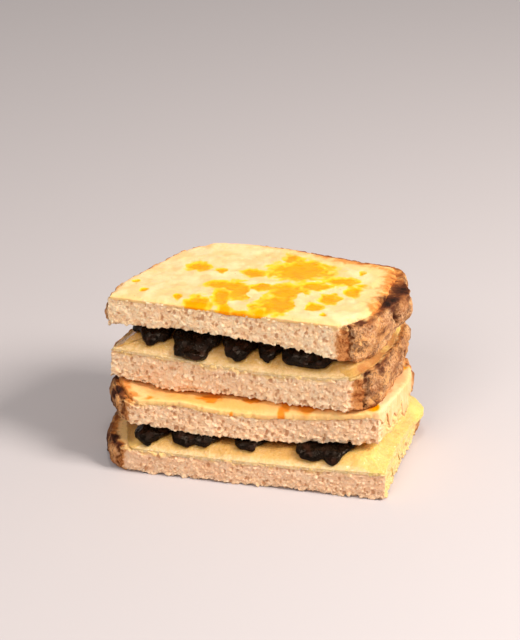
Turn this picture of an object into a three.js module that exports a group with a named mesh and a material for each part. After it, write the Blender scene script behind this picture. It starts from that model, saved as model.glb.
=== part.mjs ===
// A grilled cheese sandwich, cut in two, with one half stacked on the other.
// Each half is two slices of crusty bread round melted cheese and dark pickled
// slices, with a thin grilled cheese topping on its upper slice.
// Millimetres, +Z up. The origin is the middle of the base, and the cut faces
// look towards -Y.
import * as THREE from "three";
import { mergeVertices } from "three/addons/utils/BufferGeometryUtils.js";

const GAP = 0.35; // between pieces that touch
const DISC_GAP = 0.8; // under a pickled slice, which lies on the cheese's curved lip
const HALF_LENGTH = 50; // heights are written against x / HALF_LENGTH

const CUT_STEP = 11; // length of a step along a cut
const CRUST_STEPS = 34; // steps round the crust, from the cuts' end back to their start
const DISC_STEPS = 14;

const CRUMB_EDGE = 1.2; // how far a slice's edges are rounded
const CHEESE_LIP = 0.9; // cheese thickness right at its edge
const CHEESE_SLOPE = 9; // how far in it takes to reach full thickness
const LOWER_CHEESE = 3.9;
const UPPER_CHEESE = 4.8;
const LOWER_TOPPING = 1.5;
const UPPER_TOPPING = 1.6;

const COLOURS = {
  bread: { color: 0xdcb48c, roughness: 0.95 },
  cheese: { color: 0xe8cd86, roughness: 0.4 },
  topping: { color: 0xf6d67e, roughness: 0.45 },
  pickle: { color: 0x1c110d, roughness: 0.35 },
};

const smooth = (t) => THREE.MathUtils.smoothstep(t, 0, 1);
const hump = (t) => smooth(1 - Math.abs(t)); // 1 at 0, falling to 0 at -1 and 1

// Heights. u runs along the cut from -1 to 1. A slice bows most at its cut and
// lies flatter towards the back.
const bow = (y) => 1 - 0.7 * smooth((y + 20) / 50);
const at = (shape) => (x, y) => shape(x / HALF_LENGTH, bow(y));
const raised = (surface, by) => (x, y) => surface(x, y) + by;

const floor = () => 0;
const slice1Top = at((u, b) => 11.2 + b * (0.5 * u + 0.9 * u * u - 0.6));
const slice2Bottom = at((u, b) => 20.3 + b * (3 * u * u - 0.6 * u - 2.9));
const slice2Plain = at((u, b) => 32.3 + b * (3.3 * u * u + 0.85 * u - 3.3));
const slice3Plain = at((u) => 34.1 - 0.1 * u + 0.9 * u * u);
// The lower half's front edge stays puffed where the upper half doesn't press
// it, and the upper half sags towards it.
const puff = (x, y) => hump((x + 29) / 22) * (1 - smooth((y + 27) / 9));
const slice2Top = (x, y) => slice2Plain(x, y) + 2.2 * puff(x, y);
const slice3Bottom = (x, y) =>
  slice3Plain(x, y) - 1.8 * hump((x + 37) / 22) * (1 - smooth((y + 10) / 25));
const slice3Top = at((u, b) => 47.6 + b * (1.1 * u * u + 5 * Math.max(0, u) ** 3 - 0.7));
const slice4Bottom = at((u, b) => 58 + b * (1.3 - 2.65 * u - 2.95 * u * u));
const slice4Top = at((u) => 71.2 + 0.3 * u);

// Plans, seen from above: the straight cuts from their left end, then points on
// the crust, going round anticlockwise back to where the cuts begin. The lower
// half is cut down its right-hand side too.
const PLANS = {
  slice1: {
    cut: [[-51, -30.5], [57, -30.5], [57.5, -5], [59.5, 28]],
    crust: [[58, 40], [48, 48], [30, 49.5], [0, 51],
      [-30, 50], [-52, 46], [-62, 34], [-64.5, 12], [-64.5, -8], [-61, -22], [-56, -28]],
  },
  slice2: {
    cut: [[-51, -27.5], [-28, -25.8], [52, -20], [56, -4], [59, 12], [57.5, 26]],
    crust: [[52, 38], [42, 44], [20, 46], [-10, 46],
      [-36, 44], [-54, 38], [-62, 24], [-63.5, 4], [-62.5, -10], [-58, -21], [-54, -25.5]],
  },
  slice3: {
    cut: [[-62.5, -14.8], [39, -23]],
    crust: [[46, -19.5], [51, -12], [53, 2], [54, 18], [53, 34], [47, 43], [30, 47],
      [8, 50], [-16, 52], [-36, 48], [-48, 38], [-56, 20], [-60.5, 2]],
  },
  slice4: {
    cut: [[-64, -12.3], [35, -21]],
    crust: [[42, -17.5], [48, -8], [51, 4], [52, 20], [52, 35], [48, 43], [36, 45.5],
      [15, 50], [-5, 54], [-22, 54], [-36, 50], [-45, 43], [-51, 30], [-57, 16], [-62, 2]],
  },
  cheese1: {
    cut: [[-49, -30.2], [56.5, -30.5], [57.2, -5], [60, 16]],
    crust: [[64, 29], [59.5, 37], [50, 46], [30, 48],
      [0, 49.5], [-28, 48.5], [-48, 44], [-57, 32], [-59, 12], [-58, -8], [-54, -22], [-51, -28]],
  },
  topping2: {
    cut: [[-47, -27], [-28, -25.7], [52, -20.3], [55.8, -4], [58.6, 12], [57, 26]],
    crust: [[51, 37], [41, 43], [20, 45], [-10, 45],
      [-34, 43], [-49, 36], [-56, 24], [-58, 4], [-57, -10], [-52, -21], [-49, -25.5]],
  },
  cheese3: {
    cut: [[-61.5, -14.8], [40, -22.8]],
    crust: [[46, -18.5], [49.5, -11], [51, 2], [52, 18], [51, 33], [45.5, 41], [29, 45],
      [8, 48], [-15, 50], [-34, 46], [-46, 36.5], [-54, 19], [-59, 2]],
  },
  topping4: {
    cut: [[-62.5, -12.4], [34, -20.9]],
    crust: [[39, -15], [41.5, -4], [42.5, 12], [42.5, 28], [37, 38.5], [26, 43.5],
      [10, 47.5], [-6, 51], [-21, 51], [-34, 47], [-42.5, 40], [-48.5, 28], [-54.5, 15], [-60, 2]],
  },
};

// How far the crust swells past the slice's edge, at half height. The top
// slice's crust opens into a fat ear at its right-hand side.
const SWELL = 1.6;
const EAR = { swell: 5.8, x: 52, y: 17, reach: 21 };

// Pickled slices: the middle, half sizes along X and Y, thickness and a turn in
// radians. Those along the cut reach out from under the bread.
const LOWER_DISCS = [
  [-43.5, -19.5, 6.6, 9.5, 4, 0.1], [-24, -18.5, 11, 9.5, 4.4, 0.9], [-2, -18, 7, 8.5, 3.2, 2],
  [30, -18, 11, 12, 4.2, 3], [-45, 10, 10, 11, 4.2, 1.4], [-19, 12, 10.5, 10, 4.2, 0.3],
  [7, 11, 10, 11, 4.2, 2.3], [34, 14, 11, 10, 4.2, 1.1], [-32, 34, 10.5, 8.5, 4.2, 2.8],
  [-4, 35, 11, 8.5, 4.2, 0.6], [26, 36, 11, 8, 4.2, 1.9],
];
const UPPER_DISCS = [
  [-46, -4, 8, 9, 4.6, 0.4], [-27, -9.5, 9.5, 10, 4.8, 1.2], [-8, -7.5, 7.5, 9.5, 4.6, 2.2],
  [22.5, -11.5, 12.5, 8.5, 4.4, 0.2], [4, -8.5, 4, 7.5, 4, 2.6], [-39, 19, 9.5, 9.5, 4.6, 1.7],
  [-16, 17, 10, 10.5, 4.6, 0.8], [9, 18, 10.5, 9.5, 4.6, 2.9], [34, 15, 10, 10.5, 4.4, 1.3],
  [-26, 38, 9.5, 7, 4.6, 0.5], [-1, 38, 10.5, 7.5, 4.6, 2.1], [26, 36, 10, 7.5, 4.6, 1.5],
];
const LOBES = [[2, 0.07], [3, 0.06], [5, 0.035]]; // waves round a pickled slice's edge

// A plan's points as { x, y, skin }: skin is 0 on a cut and 1 on the crust.
function outline({ cut, crust }) {
  const ends = cut.map((p) => new THREE.Vector2(...p));
  const points = [];
  for (let k = 0; k + 1 < ends.length; k++) {
    const steps = Math.max(1, Math.round(ends[k].distanceTo(ends[k + 1]) / CUT_STEP));
    for (let i = 0; i < steps; i++) {
      const p = ends[k].clone().lerp(ends[k + 1], i / steps);
      points.push({ x: p.x, y: p.y, skin: 0 });
    }
  }
  const round = new THREE.SplineCurve([
    ends[ends.length - 1], ...crust.map((p) => new THREE.Vector2(...p)), ends[0],
  ]);
  round.getSpacedPoints(CRUST_STEPS).slice(0, CRUST_STEPS).forEach((p, i) => {
    const fromEnd = Math.min(i, CRUST_STEPS - i);
    points.push({ x: p.x, y: p.y, skin: smooth(fromEnd / 2) });
  });
  return points;
}

// The outline of a pickled slice, lobed like a real one.
function discOutline([x, y, halfX, halfY, , turn]) {
  return Array.from({ length: DISC_STEPS }, (_, i) => {
    const a = (i / DISC_STEPS) * 2 * Math.PI;
    const r = LOBES.reduce((sum, [n, size]) => sum + size * Math.cos(n * a + n * turn), 1);
    return { x: x + halfX * r * Math.cos(a), y: y + halfY * r * Math.sin(a), skin: 0 };
  });
}

const middle = (points) => ({
  x: points.reduce((sum, p) => sum + p.x, 0) / points.length,
  y: points.reduce((sum, p) => sum + p.y, 0) / points.length,
});

// How far a point lies inside an outline, measured along the line from the
// outline's middle.
function insetAt(points, x, y) {
  const c = middle(points);
  const dx = x - c.x;
  const dy = y - c.y;
  const r = Math.hypot(dx, dy);
  if (r < 1) return Infinity;
  for (let i = 0; i < points.length; i++) {
    const p = points[i];
    const q = points[(i + 1) % points.length];
    const cross = dx * (q.y - p.y) - dy * (q.x - p.x);
    const along = ((p.x - c.x) * (q.y - p.y) - (p.y - c.y) * (q.x - p.x)) / cross;
    const share = ((p.x - c.x) * dy - (p.y - c.y) * dx) / cross;
    if (along > 0 && share >= -1e-6 && share <= 1 + 1e-6) return (along - 1) * r;
  }
  return 0;
}

// A closed solid from rings that shrink towards the outline's middle. Each ring
// has an inset(point), in millimetres, and a height(x, y, point).
function ringSolid(points, rings, bottom, top) {
  const c = middle(points);
  const position = [];
  for (const ring of rings) {
    for (const p of points) {
      const r = Math.hypot(p.x - c.x, p.y - c.y);
      const k = Math.max(0.05, 1 - ring.inset(p) / r);
      const x = c.x + (p.x - c.x) * k;
      const y = c.y + (p.y - c.y) * k;
      position.push(x, y, ring.height(x, y, p));
    }
  }
  const n = points.length;
  const under = rings.length * n;
  position.push(c.x, c.y, bottom(c.x, c.y), c.x, c.y, top(c.x, c.y));
  const index = [];
  for (let i = 0; i < n; i++) {
    const j = (i + 1) % n;
    index.push(under, j, i);
    for (let k = 0; k + 1 < rings.length; k++) {
      const a = k * n;
      const b = a + n;
      index.push(a + i, a + j, b + j, a + i, b + j, b + i);
    }
    const last = (rings.length - 1) * n;
    index.push(under + 1, last + i, last + j);
  }
  const geometry = new THREE.BufferGeometry();
  geometry.setAttribute("position", new THREE.Float32BufferAttribute(position, 3));
  geometry.setIndex(index);
  const merged = mergeVertices(geometry);
  merged.computeVertexNormals();
  return merged;
}

const flat = (inset, surface) => ({ inset: () => inset, height: surface });

// How much fatter than SWELL the crust is at a point, as on the top slice's ear.
function earSwell(p) {
  const away = Math.abs(p.y - EAR.y) / EAR.reach;
  return p.x > EAR.x - 8 && away < 1 ? (EAR.swell - SWELL) * smooth(1 - away) : 0;
}

function breadSlice(plan, bottom, top, extra = () => 0) {
  const points = outline(plan);
  const swell = (p) => p.skin * (SWELL + extra(p));
  const rings = [
    flat(24, bottom),
    flat(9, bottom),
    flat(CRUMB_EDGE, bottom),
    { inset: (p) => -0.4 * swell(p), height: (x, y) => bottom(x, y) + CRUMB_EDGE },
    { inset: (p) => -swell(p), height: (x, y) => (bottom(x, y) + top(x, y)) / 2 },
    { inset: (p) => -0.4 * swell(p), height: (x, y) => top(x, y) - CRUMB_EDGE },
    flat(CRUMB_EDGE, top),
    flat(9, top),
    flat(24, top),
  ];
  return ringSolid(points, rings, bottom, top);
}

// Melted cheese is thin at its edge and swells to its full thickness inside.
const cheeseDepth = (inset, full) =>
  CHEESE_LIP + (full - CHEESE_LIP) * smooth(inset / CHEESE_SLOPE);

function cheeseTop(plan, under, full, breadAbove) {
  const points = outline(plan);
  return (x, y) => {
    const depth = cheeseDepth(insetAt(points, x, y), full);
    return Math.min(under(x, y) + GAP + depth, breadAbove(x, y) - GAP);
  };
}

function cheeseSheet(plan, under, full, breadAbove) {
  const bottom = raised(under, GAP);
  const over = (depth) => (x, y) => Math.min(bottom(x, y) + depth, breadAbove(x, y) - GAP);
  const deep = (inset) => flat(inset, over(cheeseDepth(inset, full)));
  const rings = [
    flat(24, bottom),
    flat(8, bottom),
    flat(0.5, bottom),
    flat(0, (x, y) => bottom(x, y) + CHEESE_LIP / 2),
    deep(0.5),
    deep(2.5),
    deep(4.5),
    deep(7),
    deep(24),
  ];
  return ringSolid(outline(plan), rings, bottom, over(full));
}

// Melted topping gathers in a bank where the upper half stands on it.
const bank = (x, y) =>
  0.6 * puff(x, y) + 2 * hump((x - 2) / 46) * smooth((y + 24) / 6) * (1 - smooth((y + 8) / 14));

// A thin topping follows the slice under it right to the edge.
function topping(plan, under, full, bread, extra = () => 0) {
  const bottom = (x, y) => under(x, y) + GAP + 0.5 * extra(x, y);
  const top = (x, y) => Math.min(bottom(x, y) + full + extra(x, y), bread(x, y) - GAP);
  const rings = [
    flat(24, bottom),
    flat(9, bottom),
    flat(0.8, bottom),
    flat(0, (x, y) => bottom(x, y) + full * 0.45),
    flat(0.9, (x, y) => bottom(x, y) + full * 0.85),
    flat(9, top),
    flat(24, top),
  ];
  return ringSolid(outline(plan), rings, bottom, top);
}

// A pickled slice lies on the cheese, under the bread above it.
function pickledSlice(disc, cheese, breadAbove) {
  const thickness = disc[4];
  const bottom = raised(cheese, DISC_GAP);
  const top = (x, y) => Math.min(bottom(x, y) + thickness, breadAbove(x, y) - GAP);
  const between = (share) => (x, y) => {
    const low = bottom(x, y);
    return low + (top(x, y) - low) * share;
  };
  const rings = [
    { inset: () => 4.5, height: bottom },
    { inset: () => 1.1, height: between(0.06) },
    { inset: () => 0, height: between(0.5) },
    { inset: () => 1.3, height: between(0.94) },
    { inset: () => 4.5, height: top },
  ];
  return ringSolid(discOutline(disc), rings, bottom, top);
}

const sandwich = new THREE.Group();

function add(name, look, geometry) {
  const material = new THREE.MeshStandardMaterial({ ...COLOURS[look], metalness: 0 });
  const mesh = new THREE.Mesh(geometry, material);
  mesh.name = name;
  sandwich.add(mesh);
}

function addHalf(half) {
  const { name, breads, cheese, cheeseFull, toppingPlan, toppingFull, discs } = half;
  const { toppingUnder = () => Infinity, toppingExtra } = half;
  const [under, over] = breads;
  add(`${name}_bread_under`, "bread", breadSlice(under.plan, under.bottom, under.top));
  add(`${name}_cheese`, "cheese", cheeseSheet(cheese, under.top, cheeseFull, over.bottom));
  const cheeseSurface = cheeseTop(cheese, under.top, cheeseFull, over.bottom);
  discs.forEach((disc, i) =>
    add(`${name}_pickle_${i + 1}`, "pickle", pickledSlice(disc, cheeseSurface, over.bottom)),
  );
  add(`${name}_bread_over`, "bread", breadSlice(over.plan, over.bottom, over.top, over.extra));
  add(`${name}_topping`, "topping", topping(toppingPlan, over.top, toppingFull, toppingUnder, toppingExtra));
}

addHalf({
  name: "lower",
  breads: [
    { plan: PLANS.slice1, bottom: floor, top: slice1Top },
    { plan: PLANS.slice2, bottom: slice2Bottom, top: slice2Top },
  ],
  cheese: PLANS.cheese1,
  cheeseFull: LOWER_CHEESE,
  toppingPlan: PLANS.topping2,
  toppingFull: LOWER_TOPPING,
  toppingUnder: slice3Bottom,
  toppingExtra: bank,
  discs: LOWER_DISCS,
});

addHalf({
  name: "upper",
  breads: [
    { plan: PLANS.slice3, bottom: slice3Bottom, top: slice3Top },
    { plan: PLANS.slice4, bottom: slice4Bottom, top: slice4Top, extra: earSwell },
  ],
  cheese: PLANS.cheese3,
  cheeseFull: UPPER_CHEESE,
  toppingPlan: PLANS.topping4,
  toppingFull: UPPER_TOPPING,
  discs: UPPER_DISCS,
});

// The middle of the base becomes the origin.
const box = new THREE.Box3().setFromObject(sandwich, true);
const centre = box.getCenter(new THREE.Vector3());
sandwich.position.set(-centre.x, -centre.y, -box.min.z);

export default sandwich;
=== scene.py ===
import math
import bpy
import numpy as np
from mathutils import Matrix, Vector


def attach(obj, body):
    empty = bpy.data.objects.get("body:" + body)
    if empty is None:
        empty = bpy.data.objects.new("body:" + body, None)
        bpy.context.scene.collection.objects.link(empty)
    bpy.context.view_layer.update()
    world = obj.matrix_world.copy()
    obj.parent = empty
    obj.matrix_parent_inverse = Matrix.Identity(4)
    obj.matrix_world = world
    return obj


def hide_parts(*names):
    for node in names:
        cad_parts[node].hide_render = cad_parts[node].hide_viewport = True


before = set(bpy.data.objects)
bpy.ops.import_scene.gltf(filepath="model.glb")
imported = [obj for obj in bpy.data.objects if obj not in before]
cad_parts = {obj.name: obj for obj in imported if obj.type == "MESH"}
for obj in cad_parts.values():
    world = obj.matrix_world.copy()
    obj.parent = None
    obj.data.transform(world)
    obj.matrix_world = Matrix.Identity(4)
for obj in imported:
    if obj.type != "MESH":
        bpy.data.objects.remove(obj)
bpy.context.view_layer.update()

print("frame loaded:", len(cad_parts), "nodes")

# Every shape below is drawn in millimetres on the sandwich's own layout, whose
# x runs along the lower half's cut. The part's origin lies at this place on it.
layout = {"originX": -1.2425, "originY": 12.763, "halfLength": 50.0}


def toPart(place):
    # layout millimetres to part metres: take off the origin, then divide by 1000
    return (place - np.array([layout["originX"], layout["originY"], 0.0])) / 1000.0


# Camera and light.
shot = {
    "target": (-4.148, 8.602, 57.097),  # layout mm, the spot that the camera looks at
    "place": (181.966, -788.182, 432.534),
    "lens": 121.5,
}
# azimuth and elevation in degrees, distance and size in metres, power in watts
lamps = {
    "key": {
        "azimuth": 80, "elevation": 42, "distance": 1.1,
        "size": 0.42, "power": 16, "colour": (1.0, 0.965, 0.92),
    },
    "front": {
        "azimuth": -12, "elevation": 40, "distance": 1.4,
        "size": 0.5, "power": 7.2, "colour": (1.0, 0.965, 0.94),
    },
    "back": {
        "azimuth": 192, "elevation": 28, "distance": 1.3,
        "size": 0.14, "power": 0.3, "colour": (1.0, 0.98, 0.95),
    },
    "spark": {  # picks out glints on the melted cheese
        "azimuth": 10, "elevation": 76, "distance": 1.2,
        "size": 0.1, "power": 2.2, "colour": (1.0, 0.98, 0.95),
    },
}
sky = {"colour": (1.0, 1.0, 1.0, 1.0), "strength": 0.32}

camera = bpy.data.objects.new("camera", bpy.data.cameras.new("camera"))
bpy.context.scene.collection.objects.link(camera)
bpy.context.scene.camera = camera
camera.data.lens = shot["lens"]
camera.data.sensor_width = 36.0
camera.location = toPart(np.array(shot["place"]))
lookAlong = Vector(toPart(np.array(shot["target"]))) - camera.location
camera.rotation_euler = lookAlong.to_track_quat("-Z", "Y").to_euler()


def areaLight(name, look):
    # a square lamp on a circle round the sandwich, turned to face it
    a = math.radians(look["azimuth"])
    e = math.radians(look["elevation"])
    lamp = bpy.data.objects.new(name, bpy.data.lights.new(name, "AREA"))
    bpy.context.scene.collection.objects.link(lamp)
    lamp.data.energy = look["power"]
    lamp.data.size = look["size"]
    lamp.data.color = look["colour"]
    away = Vector((math.sin(a) * math.cos(e), -math.cos(a) * math.cos(e), math.sin(e)))
    lamp.location = away * look["distance"] + Vector((0, 0, 0.03))  # about the sandwich's middle
    lamp.rotation_euler = (-away).to_track_quat("-Z", "Y").to_euler()


for name, look in lamps.items():
    areaLight(name + "Light", look)
world = bpy.data.worlds.new("studio")
world.use_nodes = True
background = world.node_tree.nodes["Background"]
background.inputs["Color"].default_value = sky["colour"]
background.inputs["Strength"].default_value = sky["strength"]
bpy.context.scene.world = world
bpy.context.scene.view_settings.view_transform = "Standard"
print("camera and light set:", len(lamps), "lamps")


def smoothStep(t):
    # 0 below 0, 1 above 1, an S between
    t = np.clip(t, 0.0, 1.0)
    return t * t * (3.0 - 2.0 * t)


def ramp(value, start, end):
    return smoothStep((value - start) / (end - start))


def cellNumber(cell, salt):
    # one even random number from 0 to 1 for each whole-number cell: primes, then folded bits
    n = cell[..., 0] * 374761393 + cell[..., 1] * 668265263 + cell[..., 2] * 2147483647 + salt * 1274126177
    n = n & 0xFFFFFFFF
    n = ((n ^ (n >> 13)) * 1274126177) & 0xFFFFFFFF
    n = n ^ (n >> 16)
    return (n & 0xFFFFFF) / float(0xFFFFFF)


def softNoise(place, size, salt):
    # smooth hills from -1 to 1, about size across: the eight corner numbers of each cell, blended
    p = place / size
    base = np.floor(p)
    f = smoothStep(p - base)
    cell = base.astype(np.int64)
    total = np.zeros(p.shape[:-1])
    for corner in np.ndindex(2, 2, 2):
        weight = np.ones(p.shape[:-1])
        for axis in range(3):
            weight = weight * (f[..., axis] if corner[axis] else 1.0 - f[..., axis])
        total = total + weight * cellNumber(cell + np.array(corner), salt)
    return total * 2.0 - 1.0


def hills(place, *layers):
    # hills of several sizes on one another: the sum of height times softNoise of that size
    return sum(height * softNoise(place, size, salt) for height, size, salt in layers)


def drift(place, size, salt):
    # a soft push in x, y and z, each a softNoise of its own
    return np.stack([softNoise(place, size, salt + k) for k in range(3)], -1)


def ballHoles(place, size, smallest, largest, share, salt):
    # depth below the surface of balls scattered one to a cell: the square root of radius squared
    # less distance squared, and 0 outside them
    p = place / size
    base = np.floor(p).astype(np.int64)
    deepest = np.zeros(p.shape[:-1])
    for step in np.ndindex(3, 3, 3):
        cell = base + np.array(step) - 1
        middle = cell + np.stack([cellNumber(cell, salt + k) for k in range(3)], -1)
        radius = (smallest + (largest - smallest) * cellNumber(cell, salt + 3) ** 2) / size
        radius = np.where(cellNumber(cell, salt + 4) < share, radius, 0.0)
        inside = radius**2 - np.sum((p - middle) ** 2, -1)
        deepest = np.maximum(deepest, inside)
    return np.sqrt(deepest) * size


def curveThrough(points, spacing):
    # a smooth curve through the points (Catmull-Rom), in even steps, without its last point
    p = np.array(points, float)
    p = np.vstack([2 * p[0] - p[1], p, 2 * p[-1] - p[-2]])
    t = np.linspace(0, 1, 40, endpoint=False)[None, :, None]
    a, b, c, d = (p[k : len(p) - 3 + k][:, None, :] for k in range(4))
    square = (2 * a - 5 * b + 4 * c - d) * t**2
    cube = (3 * b - a - 3 * c + d) * t**3
    fine = 0.5 * (2 * b + (c - a) * t + square + cube)
    fine = np.vstack([fine.reshape(-1, 2), p[-2]])
    return evenSteps(fine, spacing)


def evenSteps(line, spacing):
    # points at even distances along a line of straight pieces, without its last point
    along = np.concatenate([[0.0], np.cumsum(np.linalg.norm(np.diff(line, axis=0), axis=1))])
    count = max(2, round(along[-1] / spacing))
    at = np.linspace(0, along[-1], count, endpoint=False)
    return np.stack([np.interp(at, along, line[:, k]) for k in range(2)], -1)


def outline(plan, cutSpacing, crustSpacing):
    # the cuts in straight lines, then the crust in a curve back to the start. Gives each point and
    # its distance round the crust from the crust's first and last point (below 0 on the cuts).
    # The knife's cut runs on a little way round the crust's ends, by the two lengths in skinFrom.
    stretches = zip(plan["cut"], plan["cut"][1:])
    cut = np.vstack([evenSteps(np.array(stretch, float), cutSpacing) for stretch in stretches])
    crust = curveThrough([plan["cut"][-1], *plan["crust"], plan["cut"][0]], crustSpacing)
    first, last = plan.get("skinFrom", (0.0, 0.0))
    fromFirst = np.arange(len(crust)) * crustSpacing
    fromLast = (len(crust) - np.arange(len(crust))) * crustSpacing
    skin = ramp(fromFirst, first, first + 1.2) * ramp(fromLast, last, last + 1.2)
    points = np.vstack([cut, crust])
    step = np.linalg.norm(np.roll(points, -1, axis=0) - points, axis=1)
    away = points - points.mean(axis=0)
    return {
        "points": points,
        "away": away / np.linalg.norm(away, axis=1)[:, None],
        "skin": np.concatenate([np.zeros(len(cut)), skin]),
        "isCut": np.concatenate([np.ones(len(cut)), np.zeros(len(crust))]),
        "fromFirst": np.concatenate([np.full(len(cut), -9.0), fromFirst]),
        "fromLast": np.concatenate([np.full(len(cut), -9.0), fromLast]),
        "along": np.concatenate([[0.0], np.cumsum(step)[:-1]]),
        "crust": crust[(fromFirst >= first) & (fromLast >= last)],
    }


def distanceToLine(x, y, line):
    # the shortest distance in plan from each place to a line of straight pieces
    best = np.full(x.shape, 1e9)
    for a, b in zip(line[:-1], line[1:]):
        d = b - a
        t = np.clip(((x - a[0]) * d[0] + (y - a[1]) * d[1]) / max(d @ d, 1e-9), 0.0, 1.0)
        best = np.minimum(best, (x - a[0] - t * d[0]) ** 2 + (y - a[1] - t * d[1]) ** 2)
    return np.sqrt(best)


def slabRows(rounding, side, margin, core, reach):
    # The rings of a slab, from the middle of its underside round to the middle of its top. Each
    # has an inset from the outline in mm, a pull towards the middle (0 to 1), a lift (its share of
    # the way from underside to top), and the rounding's own rise.
    pull = np.linspace(0.96, 0.0, core, endpoint=False)
    inset = reach + (rounding - reach) * np.linspace(0, 1, margin, endpoint=False) ** 0.8
    turn = np.linspace(0, math.pi / 2, 5)[:-1]
    lift = np.linspace(0, 1, side)
    half = {
        "inset": np.concatenate([np.full(core, reach), inset, rounding * (1 - np.sin(turn))]),
        "pull": np.concatenate([pull, np.zeros(margin + 4)]),
        "rise": np.concatenate([np.zeros(core + margin), rounding * (1 - np.cos(turn))]),
    }
    return {
        "inset": np.concatenate([half["inset"], np.zeros(side), half["inset"][::-1]]),
        "pull": np.concatenate([half["pull"], np.zeros(side), half["pull"][::-1]]),
        "lift": np.concatenate([np.zeros(core + margin + 4), lift, np.ones(core + margin + 4)]),
        "rise": np.concatenate([half["rise"], rounding * (1 - 2 * lift), -half["rise"][::-1]]),
    }


def slabGrid(edge, rows, under, over, swell=0.0):
    # position = outline point, moved in towards the middle by inset and pull; its height runs
    # from under(x, y) to over(x, y) by lift. swell pushes the crust out, most at half height.
    points = edge["points"]
    middle = points.mean(axis=0)
    inward = middle - points
    inward = inward / np.linalg.norm(inward, axis=1)[:, None]
    along = np.roll(points, -1, axis=0) - np.roll(points, 1, axis=0)
    normal = np.stack([-along[:, 1], along[:, 0]], -1) / np.linalg.norm(along, axis=1)[:, None]
    slant = np.maximum(np.sum(inward * normal, axis=1), 0.5)
    inward = inward / slant[:, None]
    arch = np.sin(np.pi * np.clip(rows["lift"], 0.0, 1.0)) ** 0.7
    push = rows["inset"][:, None] - arch[:, None] * (swell * edge["skin"])[None, :]
    place = points[None] + inward[None] * push[..., None]
    place = place + (middle - place) * rows["pull"][:, None, None]
    x, y = place[..., 0], place[..., 1]
    lift = rows["lift"][:, None]
    z = under(x, y) * (1 - lift) + over(x, y) * lift + rows["rise"][:, None]
    return np.stack([x, y, z], -1)


def surfaceNormals(grid):
    # the cross product of the steps along the rows and up the columns, which points outwards
    across = np.roll(grid, -1, axis=1) - np.roll(grid, 1, axis=1)
    up = np.gradient(grid, axis=0)
    normal = np.cross(across, up)
    return normal / np.maximum(np.linalg.norm(normal, axis=-1, keepdims=True), 1e-9)


def meshPiece(name, grid, layers, material, node):
    # rings joined by squares, and a fan of triangles to one point at each end
    rowCount, columnCount = grid.shape[:2]
    ends = np.stack([grid[0].mean(axis=0), grid[-1].mean(axis=0)])
    corners = toPart(np.vstack([grid.reshape(-1, 3), ends]))
    row, column = np.meshgrid(np.arange(rowCount - 1), np.arange(columnCount), indexing="ij")
    beside = (column + 1) % columnCount
    here = row * columnCount
    above = here + columnCount
    squares = np.stack([here + column, here + beside, above + beside, above + column], -1)
    squares = squares.reshape(-1, 4)
    i = np.arange(columnCount)
    j = (i + 1) % columnCount
    bottomPoint = np.full_like(i, len(corners) - 2)
    last = (rowCount - 1) * columnCount
    bottomFan = np.stack([bottomPoint, j, i], -1)
    topFan = np.stack([bottomPoint + 1, last + i, last + j], -1)
    fans = np.vstack([bottomFan, topFan])
    mesh = bpy.data.meshes.new(name)
    mesh.vertices.add(len(corners))
    mesh.vertices.foreach_set("co", corners.astype(np.float32).ravel())
    mesh.loops.add(squares.size + fans.size)
    mesh.loops.foreach_set("vertex_index", np.concatenate([squares.ravel(), fans.ravel()]).astype(np.int32))
    mesh.polygons.add(len(squares) + len(fans))
    starts = np.concatenate([np.arange(len(squares)) * 4, squares.size + np.arange(len(fans)) * 3])
    mesh.polygons.foreach_set("loop_start", starts.astype(np.int32))
    mesh.polygons.foreach_set("use_smooth", np.ones(len(starts), bool))
    for layer, values in layers.items():
        ends = np.array([values[0].mean(), values[-1].mean()])
        mesh.attributes.new(layer, "FLOAT", "POINT").data.foreach_set(
            "value", np.concatenate([values.ravel(), ends]).astype(np.float32)
        )
    mesh.update(calc_edges=True)
    mesh.validate()
    piece = bpy.data.objects.new(name, mesh)
    bpy.context.scene.collection.objects.link(piece)
    piece.data.materials.append(material)
    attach(piece, "root")
    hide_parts(node)
    return piece


def paint(red, green, blue):
    # a colour given on a 0 to 255 scale, as the linear numbers that shaders take
    c = np.array([red, green, blue]) / 255.0
    c = np.where(c <= 0.04045, c / 12.92, ((c + 0.055) / 1.055) ** 2.4)
    return (*c, 1.0)


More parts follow.
